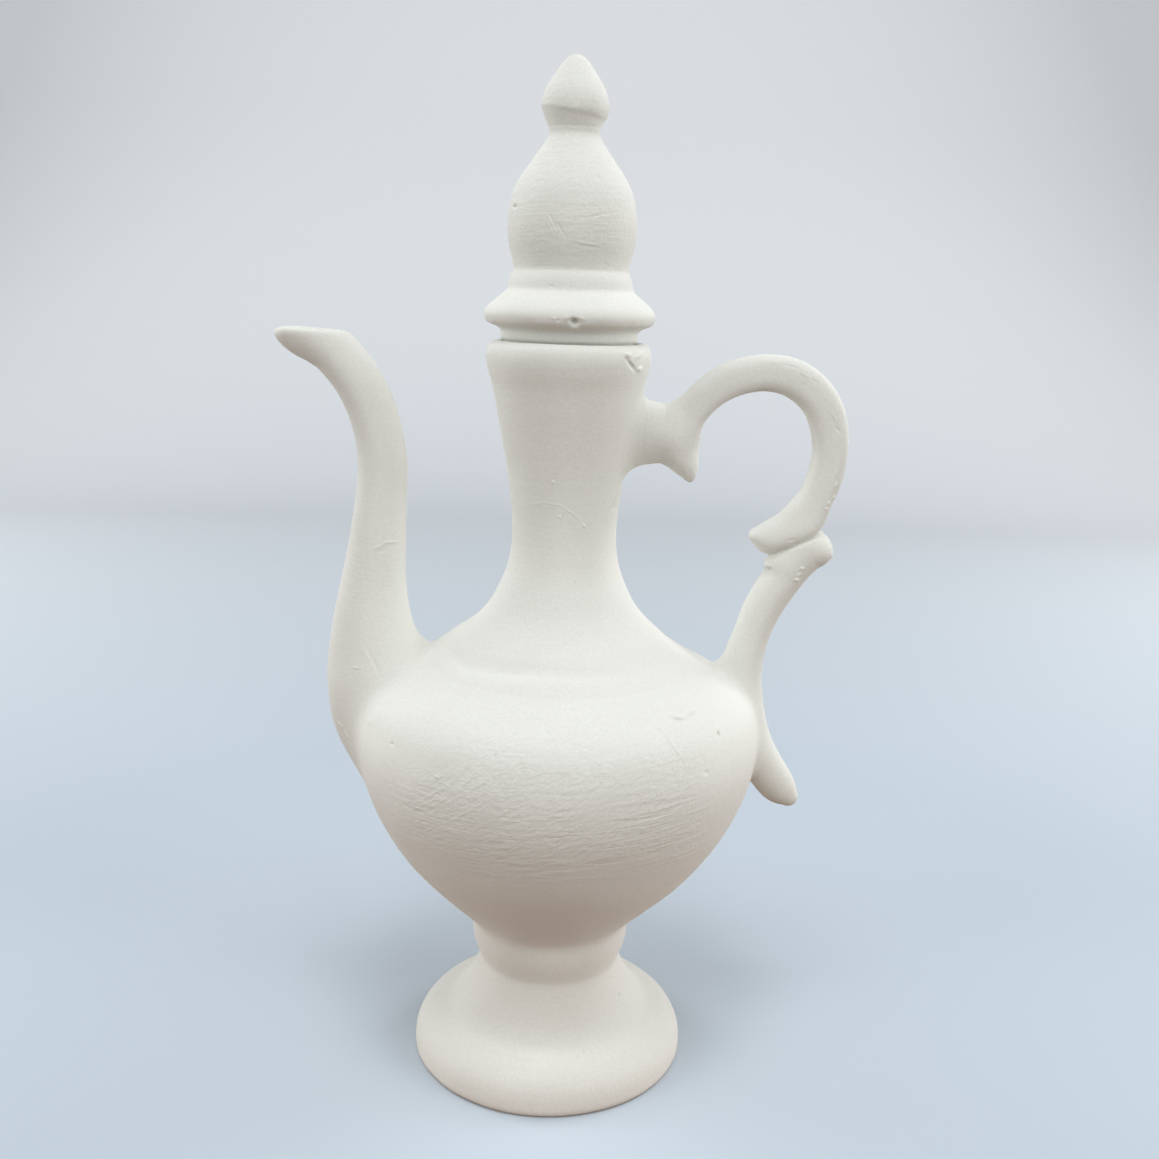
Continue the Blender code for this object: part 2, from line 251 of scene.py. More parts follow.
under_foot = [(0, 0), (45.4, 0)]
foot_line = [
    (45.2, 0), (46.3, 0.5), (46.8, 1.8), (46.7, 4.2), (46.3, 6.6), (45.3, 9.2), (43.5, 11.6),
    (40.8, 13.8), (37.8, 15.3), (35.2, 16.4), (33.2, 17.8), (31.2, 20.0), (29.2, 22.9), (27.2, 26.4),
    (25.6, 29.8), (24.5, 32.6), (24.1, 34.5),
]
knop_line = [
    (24.1, 34.5), (24.9, 36.8), (26.1, 39.8), (26.8, 43.0), (26.9, 45.8), (26.9, 47.8), (27.3, 49.6),
    (28.3, KNOP_TOP),
]
belly_line = [
    (28.3, KNOP_TOP), (30.0, 53.0), (33.2, 56.2), (38.0, 60.9), (45.0, 68.2), (50.6, 74.8),
    (55.4, 81.6), (59.4, 88.8), (62.6, 95.8), (65.0, 103.2), (66.2, 109.8), (66.5, 116.0),
    (65.8, 122.2), (63.6, 128.6), (59.4, 133.4), (52.6, 137.8), (SEAM_RADIUS, SEAM_HEIGHT),
]
neck_line = [
    (SEAM_RADIUS, SEAM_HEIGHT), (37.4, 147.2), (31.6, 152.1), (27.2, 156.4), (23.6, 161.1),
    (20.7, 166.8), (18.3, 173.0), (17.1, 179.8), (17.0, 187.0), (17.6, 195.5), (18.9, 205.5),
    (20.7, 215.0), (22.4, 223.5), (23.9, 231.0), (25.4, 236.3), (26.1, 240.6), (25.6, 243.6),
    (24.2, 245.1), (23.0, RIM_TOP),
]
over_mouth = [(23.0, RIM_TOP), (0, RIM_TOP)]
pot = turned_form(outline(under_foot, foot_line, knop_line, belly_line, neck_line, over_mouth))
print("the pot is", 2 * max(r for r, _ in belly_line), "mm wide and", RIM_TOP, "mm high")

# %% [markdown]
# The spout
#
# The spout was cast as a tube in a two-part mould and luted over a hole in the belly. It is
# fullest at its root, runs up almost straight, bends out at the top and is cut off level,
# which leaves an oval mouth with a blunt tip. The bore follows the same stations, less the
# wall, so the wall stays even wherever the line goes.

# %% The spout's line
MOUTH_CUT = 247.2
LIP_RISE = 0.05  # the lip climbs a little towards its tip
SPOUT_WALL = 3.2
# each station is (x, height, half-width in the middle plane, half-depth across it)
spout_line = [
    (-44.0, 108.0, 22.0, 15.0), (-52.0, 120.5, 23.4, 16.0), (-58.2, 131.0, 19.4, 15.2),
    (-61.6, 141.5, 15.5, 13.4), (-62.6, 152.5, 12.9, 11.8), (-62.0, 166.5, 10.5, 10.2),
    (-60.5, 182.0, 9.0, 9.0), (-59.2, 196.0, 8.1, 8.2), (-59.0, 206.0, 7.9, 7.9),
    (-60.2, 215.0, 7.7, 7.7), (-62.8, 224.0, 7.6, 7.6), (-67.2, 232.5, 7.6, 7.6),
    (-73.4, 240.0, 7.6, 7.5), (-77.8, 244.2, 8.5, 7.6), (-82.6, 250.4, 11.5, 7.8),
    (-83.2, 256.0, 12.0, 7.8),
]
bore_line = [(-36.0, 112.0, 6.0, 6.0)]
for x, height, wide, deep in spout_line[3:]:
    # the wall thickens where the spout grows out of the belly
    bore_wide = wide - (SPOUT_WALL + 0.45 * max(0.0, wide - 10.0))
    bore_deep = deep - SPOUT_WALL - 0.45 * max(0.0, deep - 10.0)
    bore_line.append((x, height, bore_wide, bore_deep))
spout_outside = limb_form(spout_line, 9)
spout_bore = limb_form(bore_line)
print("spout reaches x =", min(x - wide for x, _, wide, _ in spout_line[:-2]))

# %% [markdown]
# The handle
#
# The handle is two castings. The upper one is a short arm on the neck with a hanging spur,
# and an arc that rolls round to a blunt toe. The lower one starts under a slanting crease
# with a heel that stands out behind, lands on the shoulder and runs down the belly to a free
# tail. Each is made of a few limbs, so one station can be moved without upsetting the rest.

# %% The handle's lines
bracket = limb_form([
    (12.0, 217.6, 11.2, 7.4), (24.0, 217.4, 10.4, 6.6), (29.5, 217.2, 9.4, 6.0),
    (33.2, 217.0, 9.0, 5.7), (35.8, 216.6, 5.4, 4.7),
])
spur = limb_form([
    (34.0, 216.0, 7.0, 5.2), (36.8, 210.4, 5.4, 5.0), (38.9, 206.2, 3.5, 3.9),
    (39.9, 203.6, 1.9, 2.2),
])
arc_line = [
    (33.8, 217.6, 5.0, 4.9), (39.4, 224.8, 5.5, 5.4), (45.2, 230.8, 5.4, 5.5),
    (52.4, 235.3, 5.6, 5.6), (61.2, 237.4, 5.7, 5.8), (69.4, 236.6, 6.0, 5.9),
    (76.0, 233.2, 6.1, 6.0), (81.0, 227.8, 6.0, 6.0), (83.9, 220.4, 5.8, 5.8),
    (84.8, 212.2, 5.5, 5.7), (83.7, 204.6, 5.5, 5.7), (81.2, 197.5, 5.4, 5.8),
    (78.2, 191.4, 6.7, 6.1), (76.6, 186.8, 7.5, 6.2),
]
arc = limb_form(arc_line, squareness=3.0)
strut = limb_form([
    (78.0, 182.0, 6.6, 6.2), (76.0, 177.6, 6.9, 6.2), (72.6, 171.4, 6.5, 6.2),
    (69.1, 165.8, 6.4, 6.2), (65.8, 159.2, 6.2, 6.1), (63.2, 151.6, 6.0, 6.1),
    (61.2, 143.6, 6.5, 6.4), (60.8, 135.0, 6.7, 6.6), (62.2, 126.0, 6.6, 6.4),
    (65.6, 115.2, 6.1, 6.0), (69.9, 105.8, 6.4, 5.6), (74.7, 98.6, 6.2, 4.8), (79.0, 94.3, 3.6, 3.2),
])
toe = limb_form([
    (76.4, 187.6, 7.4, 6.2), (71.4, 185.0, 6.9, 6.2), (67.8, 184.2, 5.7, 5.6),
    (65.0, 184.5, 3.9, 4.9), (62.6, 184.9, 2.3, 3.9),
])
heel = limb_form([
    (73.5, 175.5, 7.4, 6.2), (79.2, 180.4, 7.4, 6.2), (82.4, 180.4, 5.6, 5.9),
    (85.7, 179.6, 2.5, 4.2),
])
arc_steps = np.diff(curve(arc_line)[:, :2], axis=0)
print("the arc is", round(float(np.linalg.norm(arc_steps, axis=1).sum())), "mm long")

# %% [markdown]
# The crease in the handle
#
# Where the two castings meet, the upper one rounds down to the crisp rim of the lower one.
# A straight cut would look sawn, so the crease wanders a little. Over it the clay belongs to
# the scroll and under it to the strut, and a shallow hollow follows it on both faces.

# %% The slanting crease of the handle
CREASE_LOW = np.array([65.9, 177.0])
CREASE_HIGH = np.array([84.2, 188.2])
CREASE_LENGTH = float(np.linalg.norm(CREASE_HIGH - CREASE_LOW))
CREASE_WANDER = 0.5  # it was wiped by hand, so it isn't quite straight
crease_along = (CREASE_HIGH - CREASE_LOW) / CREASE_LENGTH
crease_up = np.array([-crease_along[1], crease_along[0]])


def over_crease(p):
    """Height over the slanting crease where the two handle castings meet."""
    from_low = p[:, [0, 2]] - CREASE_LOW
    wander = np.sin(2 * math.pi * np.clip(from_low @ crease_along / CREASE_LENGTH, 0, 1))
    return from_low @ crease_up - CREASE_WANDER * wander


def crease_hollow(p, over):
    """A hollow just over the crease, on both faces, where the scroll rounds down to the strut."""
    reach = np.where(over > 0, 2.6, 0.5)
    near = (p[:, 0] > 60) & (np.abs(over) < 9)
    on_faces = np.clip(np.abs(p[:, 1]) / 4, 0, 1) ** 2
    return np.where(near, 0.3 * np.exp(-((over / reach) ** 2)) * on_faces, 0)


print("crease", round(CREASE_LENGTH, 1), "mm long")

# %% [markdown]
# The whole vessel
#
# The outsides are merged first and the hollows taken away after, in the order of the mould.
# The cavity is the pot's own outline moved inwards by the wall, so the wall is even; the
# mouth, the pedestal and the bore are cut out with it. The foot stands a little to the
# spout's side, as it does on many hand-luted pieces, so the pot leans below the belly.

# %% The vessel in one function
FLOOR = 57.0  # inside floor of the belly
KNOP_CEILING = 46.0  # inside top of the hollow pedestal
MOUTH_RADIUS = 21.9
LEAN = 1.3  # the foot stands this far to the spout's side, and the belly leans with it
LEAN_TOP = 125.0
# places in the middle plane where a join differs from the rest: (x, height, reach)
SPOUT_TIP = (-92, 247, 4)
SPOUT_NOTCH = (-44, 147, 6)
SPOUT_SHOULDER = (-37, 148, 7)
STRUT_SADDLE = (52, 141, 9)
UNDER_ARM = (21, 206, 7)


def joined_castings(p):
    """Foot, belly, neck, spout and handle as one hollow body."""
    radius, height = np.hypot(p[:, 0], p[:, 1]), p[:, 2]
    lean = np.outer(np.clip((LEAN_TOP - height) / (LEAN_TOP - KNOP_TOP), 0, 1), [LEAN, 0, 0])
    body = pot(p + lean)
    over_lip = MOUTH_CUT - LIP_RISE * (p[:, 0] + 80) - height
    spout = cut(spout_outside(p), over_lip, 3.0 + 4.5 * close_to(p, *SPOUT_TIP))
    over = over_crease(p)
    scroll = merge(merge(arc(p), toe(p), 3.0), merge(bracket(p), spur(p), 4.0), 6.0)
    scroll = cut(scroll, over + 0.1, 4.5)
    lower = cut(merge(strut(p), heel(p), 2.0), 0.1 - over, 1.6)
    clay = merge(body, spout, 9.0 - 6.0 * close_to(p, *SPOUT_NOTCH))
    fillet = 6.0 + 9.0 * close_to(p, *STRUT_SADDLE) + 5.0 * close_to(p, *UNDER_ARM)
    clay = merge(clay, merge(scroll, lower, 2.0), fillet) - 1.7 * close_to(p, *SPOUT_SHOULDER)
    hollow = np.maximum(body + WALL, FLOOR - height)
    mouth = np.maximum(radius - MOUTH_RADIUS + 0.3 * (RIM_TOP - height), 232 - height)
    pedestal = np.maximum(body + WALL, height - KNOP_CEILING)
    underside = np.maximum(radius - 41.6 + 0.1 * height, height - 7.5)
    hollow = merge(np.minimum(hollow, mouth), spout_bore(p), 2.0)
    hollow = np.minimum(hollow, merge(pedestal, underside, 3.0))
    return cut(clay, hollow, 1.4) + unevenness(p) + shoulder_fold(p, radius) + crease_hollow(p, over)


def wall_below(x, height, step=0.05):
    """How much clay lies behind the front face at a place, as a caliper would find it."""
    line = np.zeros((2000, 3))
    line[:, 0], line[:, 1], line[:, 2] = x, -70 + step * np.arange(2000), height
    within = joined_castings(line) < 0
    return step * (within & (np.cumsum(np.diff(within, prepend=False)) == 1)).sum()


print("walls in mm: belly", round(wall_below(0, 115), 1), "neck", round(wall_below(0, 190), 1))

# %% [markdown]
# Marks of the hand
#
# What tells a raw casting from a computer's is its marks: pinholes where air sat in the slip,
# a gouge under the rim with the clay it pushed up, blobs of slip at the handle's crease, the
# line where the spout was luted on, and scratches from wiping. Bump alone would lose the
# larger ones at the outline, so each mark is a small swell or hollow of the form itself.

# %% Marks laid on the front
MARK_DEPTH = 3.0


def lay_marks(form, marks):
    """Rows of (x, height, half-length, half-width, degrees, rise) moved on to the form's front.
    The rows that come back hold the y as well, between x and height."""
    rows = np.insert(np.array(marks, float), 1, 0.0, axis=1)
    depths = np.arange(-75, 10, 0.2)
    rays = np.repeat(rows[:, None, :3], len(depths), axis=1)
    rays[:, :, 1] = depths
    away = form(rays.reshape(-1, 3)).reshape(len(rows), len(depths))
    first_inside = np.where((away < 0).any(1), (away < 0).argmax(1), away.argmin(1))
    rows[:, 1] = depths[first_inside]
    return rows


def mark_reach(p, mark):
    """How far each point lies from a mark, counted in the mark's own half-sizes."""
    x, y, z = (p - mark[:3]).T
    c, s = math.cos(math.radians(mark[5])), math.sin(math.radians(mark[5]))
    along, across = (x * c + z * s) / mark[3], (z * c - x * s) / mark[4]
    return np.sqrt(along**2 + across**2 + (y / MARK_DEPTH) ** 2)


def touched(form, marks):
    """The form with its marks; a positive rise is a lump and a negative one a hollow."""
    def distance(p):
        away = form(p)
        for mark in marks:
            span = 3 * mark[3] + 1
            near = (np.abs(p[:, 0] - mark[0]) < span) & (np.abs(p[:, 2] - mark[2]) < span)
            near = np.flatnonzero(near & (np.abs(p[:, 1] - mark[1]) < 9))
            away[near] -= mark[6] * np.exp(-mark_reach(p[near], mark) ** 2)
        return away

    return distance

# %% [markdown]
# Where the vessel was marked
#
# Each row is one mark: where it is on the front, its half-length and half-width, its slope in
# degrees, and how far it stands out or goes in. Noise could scatter marks with less writing,
# but the gouge belongs under the rim, the slip at the crease and the luting line at the
# spout, where a hand left them.

# %% The vessel's marks
gouge_under_rim = [
    (18.9, 239.6, 2.2, 0.5, -49, -0.7), (17.8, 242.6, 0.9, 0.7, 0, 0.7),
    (21.6, 238.2, 0.9, 0.6, 20, 0.6), (21.2, 242.3, 2.0, 0.6, 31, 0.3),
]
pinholes = [
    (48.7, 130.2, 0.5, 0.45, 0, -0.6), (48.8, 131.2, 0.6, 0.3, 0, 0.18),
    (-50.7, 125.1, 0.6, 0.45, 20, -0.3), (-18.3, 129.6, 0.7, 0.4, 20, -0.22),
    (44.5, 121.4, 0.7, 0.6, 0, -0.3), (23.1, 24.9, 0.45, 0.45, 0, -0.3),
    (10.8, 16.0, 0.45, 0.45, 0, -0.25), (15.6, 194.0, 1.0, 0.6, 40, -0.3),
]
slip_blobs = [
    (66.6, 175.6, 0.9, 0.8, 0, 1.2), (76.0, 171.6, 0.7, 0.5, 0, 0.6),
    (77.2, 175.5, 0.7, 0.45, 0, 0.45), (76.5, 173.4, 0.9, 0.5, 20, 0.3),
    (-35.5, 120.9, 0.6, 0.45, 0, 0.28), (-1.7, 192.4, 0.4, 0.4, 0, 0.28),
    (6.1, 189.5, 0.4, 0.4, 0, 0.25), (-3.9, 203.4, 0.4, 0.4, 0, 0.25),
]
crease_dents = [(73.0, 184.9, 1.0, 0.5, 10, -0.25), (75.1, 183.5, 0.8, 0.4, 20, -0.28)]
luting_line = [
    (-60.7, 143.3, 5.0, 0.5, -61, -0.12), (-62.2, 143.6, 4.5, 0.7, -61, 0.06),
    (-66.1, 140.3, 1.3, 0.3, 5, 0.2), (-72.2, 119.4, 1.6, 0.35, -42, 0.25),
    (-69.8, 116.2, 1.8, 0.35, -48, 0.25), (-68.4, 112.8, 1.5, 0.35, -52, 0.2),
    (-60.0, 126.2, 8.0, 1.2, 26, 0.14),
]
wiped_ridge = [
    (35.6, 136.4, 2.4, 0.4, -12, 0.42), (40.4, 136.4, 2.4, 0.4, 5, 0.42),
    (37.6, 135.4, 3.2, 0.4, -5, -0.12),
]
scratches = [
    (30.0, 135.0, 1.8, 0.3, -33, 0.16), (32.6, 132.7, 1.8, 0.3, -54, 0.16),
    (35.0, 129.6, 2.0, 0.3, -51, 0.16), (-44.8, 108.1, 2.3, 0.5, -4, -0.1),
    (-40.8, 108.2, 2.0, 0.5, 10, -0.1), (-36.9, 110.4, 2.6, 0.5, 36, -0.08),
    (-27.3, 123.2, 5.0, 0.45, 52, -0.09), (-25.6, 122.6, 4.5, 0.45, 52, 0.08),
    (-29.4, 122.6, 4.0, 0.45, 54, 0.08), (-12.8, 194.6, 2.1, 0.32, 28, 0.05),
    (-8.5, 196.1, 2.3, 0.32, 12, 0.07), (-3.8, 196.3, 2.4, 0.32, -7, 0.08),
    (1.3, 194.3, 3.0, 0.32, -33, 0.1), (5.4, 190.6, 2.3, 0.32, -51, 0.1),
    (15.7, 198.0, 5.2, 0.5, 66, 0.35), (8.4, 175.9, 1.5, 0.5, 42, -0.2),
    (3.8, 172.5, 2.8, 0.4, 46, 0.12), (9.3, 169.4, 2.0, 0.4, 60, -0.12),
    (-58.7, 179.8, 1.7, 0.4, 27, 0.22), (-55.4, 180.9, 1.9, 0.4, -2, 0.24),
    (-57.6, 178.4, 2.4, 0.6, 20, -0.12),
]
scraped_seam = [
    (86.1, 198.8, 0.7, 0.4, 60, 0.3), (84.5, 197.0, 0.7, 0.4, 40, 0.3),
    (83.9, 195.2, 0.5, 0.4, 0, 0.25), (86.2, 207.0, 1.2, 0.4, 80, 0.22),
    (86.4, 203.0, 0.8, 0.4, 70, 0.24), (85.6, 220.6, 1.0, 0.45, 130, -0.22),
    (84.0, 224.6, 1.4, 0.4, 120, 0.18), (64.5, 241.0, 1.4, 0.5, 0, 0.16),
    (69.2, 240.0, 1.8, 0.4, -12, -0.2), (74.0, 237.4, 1.8, 0.35, -28, 0.18),
    (77.0, 235.6, 1.5, 0.35, -30, -0.16),
]
vessel_marks = gouge_under_rim + pinholes + slip_blobs + crease_dents
vessel_marks += luting_line + wiped_ridge + scratches + scraped_seam
vessel_marks = lay_marks(joined_castings, vessel_marks)
vessel = touched(joined_castings, vessel_marks)
print(len(vessel_marks), "marks on the vessel")

# %% [markdown]
# From distance to mesh
#
# A mesh is needed where the distance is nothing. Marching cubes would do, but surface nets
# give cleaner quads: one vertex in every cell that the surface crosses, at the middle of its
# crossings, and one quad round every grid edge that the surface cuts. Only the cells near
# the clay are looked at, so a fine grid stays quick.

# %% Surface nets
CORNERS = np.array([(i, j, k) for i in (0, 1) for j in (0, 1) for k in (0, 1)])
BLOCK = 4


def blocks_near(form, low, shape, cell):
    """The first cell of each 4-cell block that the surface may cross."""
    counts = [n // BLOCK for n in shape]
    index = np.stack(np.meshgrid(*map(np.arange, counts), indexing="ij"), -1).reshape(-1, 3)
    middle = low + (index + 0.5) * BLOCK * cell
    return index[np.abs(form(middle)) < BLOCK * cell * 1.15] * BLOCK


def skin(form, low, high, cell):
    """(vertices, quads) of the form's surface between two corners."""
    low = np.array(low, float)
    shape = [int(math.ceil(s / cell / BLOCK)) * BLOCK for s in np.array(high) - low]
    steps = np.stack(np.meshgrid(*[np.arange(BLOCK + 1)] * 3, indexing="ij"), -1).reshape(-1, 3)
    blocks = blocks_near(form, low, shape, cell)
    wanted = np.zeros([n + 1 for n in shape], bool)
    for step in steps:
        wanted[tuple((blocks + step).T)] = True
    places = np.argwhere(wanted)
    depth = np.full(wanted.shape, FAR, np.float32)
    depth[wanted] = form(low + places * cell)
    inner = steps[(steps < BLOCK).all(1)]
    cells = (blocks[:, None] + inner[None]).reshape(-1, 3)
    at = np.stack([depth[tuple((cells + c).T)] for c in CORNERS], 1)
    cut_through = (at < 0).any(1) & (at >= 0).any(1)
    cells, at = cells[cut_through], at[cut_through]
    total, count = np.zeros((len(cells), 3)), np.zeros(len(cells))
    for a in range(8):
        for b in range(a + 1, 8):
            if np.abs(CORNERS[a] - CORNERS[b]).sum() != 1:
                continue
            crossed = (at[:, a] < 0) != (at[:, b] < 0)
            t = at[crossed, a] / (at[crossed, a] - at[crossed, b])
            total[crossed] += CORNERS[a] + t[:, None] * (CORNERS[b] - CORNERS[a])
            count[crossed] += 1
    points = low + (cells + total / count[:, None]) * cell
    number = np.full(shape, -1, np.int32)
    number[tuple(cells.T)] = np.arange(len(cells))
    quads = []
    for axis in range(3):
        across = [np.eye(3, dtype=int)[(axis + n) % 3] for n in (1, 2)]
        end = 4 >> axis
        crossed = (at[:, 0] < 0) != (at[:, end] < 0)
        here = cells[crossed]
        ring = [here, here - across[0], here - across[0] - across[1], here - across[1]]
        quad = np.stack([number[tuple(c.T)] for c in ring], 1)
        outward = at[crossed, 0] < 0
        quad[~outward] = quad[~outward][:, ::-1]
        quads.append(quad)
    return points, np.vstack(quads)


def ball(p):
    """Distance from a ball 10 mm across, to try the net on."""
    return np.linalg.norm(p, axis=1) - 5


print("a ball 10 mm across has", len(skin(ball, (-8, -8, -8), (8, 8, 8), 1.0)[1]), "quads")

# %% [markdown]
# Finer quads at the marks
#
# A pinhole half a millimetre wide would fall between the vertices of the net. A finer net
# everywhere would be slow, so only the quads at a mark are split, twice over. Every vertex
# then slides on to the form exactly, and the slope of the distance there is its normal.

# %% Refine and settle
def refine(points, quads, chosen):
    """Each chosen quad split in four, so that small marks get enough vertices."""
    coarse = quads[chosen]
    edges = np.sort(np.stack([coarse, np.roll(coarse, -1, axis=1)], -1), axis=-1).reshape(-1, 2)
    edges, which = np.unique(edges, axis=0, return_inverse=True)
    halves = len(points) + which.reshape(-1, 4)
    centres = len(points) + len(edges) + np.arange(len(coarse))
    points = np.vstack([points, points[edges].mean(1), points[coarse].mean(1)])
    fine = [np.stack([coarse[:, k], halves[:, k], centres, halves[:, k - 1]], 1) for k in range(4)]
    return points, np.vstack([quads[~chosen]] + fine)


def refine_marks(points, quads, marks):
    """Two rounds of splitting round the marks."""
    for reach in (3.5, 2.5):
        middle = points[quads].mean(1)
        chosen = np.zeros(len(quads), bool)
        for mark in marks:
            near = np.flatnonzero(np.abs(middle - mark[:3]).max(1) < 3 * mark[3] + 1)
            chosen[near] |= mark_reach(middle[near], mark) < reach
        points, quads = refine(points, quads, chosen)
    return points, quads


def settle(form, points, reach=0.2):
    """The points moved on to the surface, and the outward normal at each."""
    slope = [form(points + side) - form(points - side) for side in np.eye(3) * reach]
    slope = np.stack(slope, 1) / (2 * reach)
    steep = (slope**2).sum(1, keepdims=True) + 1e-6
    points = points - form(points)[:, None] * slope / np.maximum(steep, 0.3)
    return points, slope / np.sqrt(steep)

# %% [markdown]
# From quads to a piece
#
# A piece is a mesh object that rides on a body of the model and stands in for its plain
# node. Its normals come from the form and not from the quads, so it shades smoothly right up
# to the edge, where the next casting goes on.

# %% One casting as an object
def casting(name, body, nodes, points, normals, quads):
    """A mesh piece from some quads of a skin, riding on its body in place of the CAD nodes."""
    used, corners = np.unique(quads, return_inverse=True)
    corners = corners.reshape(-1).astype(np.int32)
    mesh = bpy.data.meshes.new(name)
    mesh.vertices.add(len(used))
    mesh.vertices.foreach_set("co", (points[used] * MM).astype(np.float32).ravel())
    mesh.loops.add(len(corners))
    mesh.loops.foreach_set("vertex_index", corners)
    mesh.polygons.add(len(quads))
    mesh.polygons.foreach_set("loop_start", np.arange(0, len(corners), 4, dtype=np.int32))
    mesh.update(calc_edges=True)
    mesh.shade_smooth()
    mesh.normals_split_custom_set_from_vertices(normals[used].tolist())
    piece = bpy.data.objects.new(name, mesh)
    bpy.context.scene.collection.objects.link(piece)
    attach(piece, body)
    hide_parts(*nodes)
    print(name, len(quads), "quads")
    return piece

# %% [markdown]
# Skinning the vessel
#
# Cells of 0.7 mm keep the thin rim of the handle's heel and the crease crisp.

# %% Skin the vessel
VESSEL_CELL = 0.7
points, quads = skin(joined_castings, (-97, -70, -3), (94, 70, 251), VESSEL_CELL)
points, quads = refine_marks(points, quads, vessel_marks)
points, normals = settle(vessel, points)
print("vessel skin:", len(points), "points")

# %% [markdown]
# Cutting the skin back into castings
#
# The six castings are one skin now, but they stay separate pieces, as in the maker's shop:
# each can be hidden, repainted or reused alone. They part along the real seams: the crease
# over the knop, the shoulder, the root of the spout and the handle's slanting crease. The
# normals come from the whole skin, so no seam shows in the light.

# %% Sort the quads
SEAM_SLOPE = 1.54  # rise over run of the neck's seam, about square to the shoulder
OFF_THE_POT = 0.25  # a quad this far outside the pot belongs to a limb
middle = points[quads].mean(1)
radius = np.hypot(middle[:, 0], middle[:, 1])
outside_pot = pot(middle) > OFF_THE_POT
over_seam = (middle[:, 2] - SEAM_HEIGHT) > (radius - SEAM_RADIUS) * SEAM_SLOPE
label = np.where(middle[:, 2] < KNOP_TOP, "foot", np.where(over_seam, "neck", "belly"))
is_limb = outside_pot & (np.abs(middle[:, 0]) > 20) & (middle[:, 2] > 80) & (np.abs(middle[:, 1]) < 24)
label = np.where(is_limb & (middle[:, 0] < 0), "spout", label)
upper = over_crease(middle) > 0
label = np.where(is_limb & (middle[:, 0] > 0), np.where(upper, "handle_scroll", "handle_strut"), label)
vessel_pieces = []
for name in ("foot", "belly", "neck", "spout", "handle_scroll", "handle_strut"):
    piece = casting(name + "_bisque", "vessel", [name], points, normals, quads[label == name])
    vessel_pieces.append(piece)

# %% [markdown]
# The stopper lid
#
# One casting holds the tapered plug, the flange, the little collar and the onion dome; the
# bud was cast apart and luted on, which leaves the sharp crease under it. The plug hangs in
# the neck by its taper, so a dark gap shows between rim and flange. It is one turned form
# again, with two things that a lathe wouldn't give: the slanting fold where the bud's foot
# was pared back, and the ragged edge that trimming left on the flange.

# %% The lid's form
LID_TOP = 308.15
FOLD_HEIGHT = 313.4
FLANGE_EDGE = (26.0, 251.5)
PLUG_FOOT = 226.0
plug_line = [(0, PLUG_FOOT), (17.1, PLUG_FOOT)]
taper_line = [(17.1, PLUG_FOOT), (20.0, 243.2), (20.0, 245.2), (21.4, 246.0), (21.5, 248.7)]
flange_line = [
    (21.5, 248.7), (23.0, 249.8), (25.5, 250.8), (26.8, 252.9), (26.2, 255.3), (24.0, 257.5),
    (21.4, 259.6), (19.5, 261.2),
]
collar_line = [(19.5, 261.2), (19.3, 263.6), (18.7, 265.5), (17.7, 267.2)]
dome_line = [
    (17.7, 267.2), (18.5, 270.6), (19.6, 275.2), (20.0, 280.6), (19.5, 285.8), (18.1, 290.9),
    (15.7, 295.3), (12.6, 299.6), (9.6, 303.8), (8.0, 306.6), (7.6, LID_TOP),
]
bud_line = [
    (7.9, LID_TOP), (9.1, 310.8), (10.1, 313.4), (10.2, 315.5), (9.7, 318.2), (8.4, 321.2),
    (6.6, 324.0), (4.4, 327.0), (2.0, 329.4), (0.0, 330.0),
]
lid_solid = turned_form(outline(plug_line, taper_line, flange_line, collar_line, dome_line, bud_line))


def luted_lid(p):
    """Lid and bud as one hollow body; the bud's foot is pared back under a slanting fold."""
    radius, height = np.hypot(p[:, 0], p[:, 1]), p[:, 2]
    body = lid_solid(p)
    under_fold = np.clip((FOLD_HEIGHT - 0.16 * p[:, 0] - height) / 1.2, 0, 1)
    body = body + 0.4 * under_fold * np.clip((height - LID_TOP) / 0.8, 0, 1)
    angle = np.arctan2(p[:, 1], p[:, 0])
    trimmed_edge = np.exp(-((radius - FLANGE_EDGE[0]) ** 2 + (height - FLANGE_EDGE[1]) ** 2) / 0.8**2)
    body = body - 0.25 * trimmed_edge * (0.6 + 0.5 * np.sin(9 * angle) * np.sin(23 * angle + 1))
    hollow = np.maximum(body + WALL, height - 302.0)
    plug_hole = np.maximum(radius - 13.2 + 0.2 * (PLUG_FOOT - height), height - 250)
    return cut(body, merge(hollow, plug_hole, 2.0), 1.2) + 0.8 * unevenness(p * 1.3)


lid_marks = lay_marks(luted_lid, [
    (1.4, 252.2, 1.4, 0.85, -8, -1.5), (1.3, 250.5, 1.6, 0.5, 0, 0.4),
    (-0.8, 253.3, 0.9, 0.5, 25, 0.22), (3.3, 253.3, 1.0, 0.4, -20, 0.22),
    (-4.6, 253.0, 0.45, 0.35, 0, 0.22), (-3.5, 252.5, 0.5, 0.35, 0, -0.22),
    (-17.4, 285.3, 0.55, 0.5, 0, -0.55), (-17.2, 286.2, 0.6, 0.35, 0, 0.16),
    (-5.9, 262.2, 0.6, 0.35, -20, -0.28), (-5.5, 280.4, 2.6, 0.35, -60, -0.16),
    (-3.4, 278.6, 2.4, 0.35, -58, -0.14), (-6.6, 278.8, 2.0, 0.35, -62, 0.1),
    (4.5, 274.8, 3.2, 0.35, -8, 0.14), (5.0, 273.9, 3.0, 0.35, -6, -0.12),
    (8.0, 283.0, 2.5, 0.4, 12, -0.1),
])
stopper = touched(luted_lid, lid_marks)
print(len(lid_marks), "marks on the lid")

# %% [markdown]
# Skinning the lid
#
# The lid is smaller and nearer to the eye, so its net is finer. Lid and bud part at the
# crease between them.

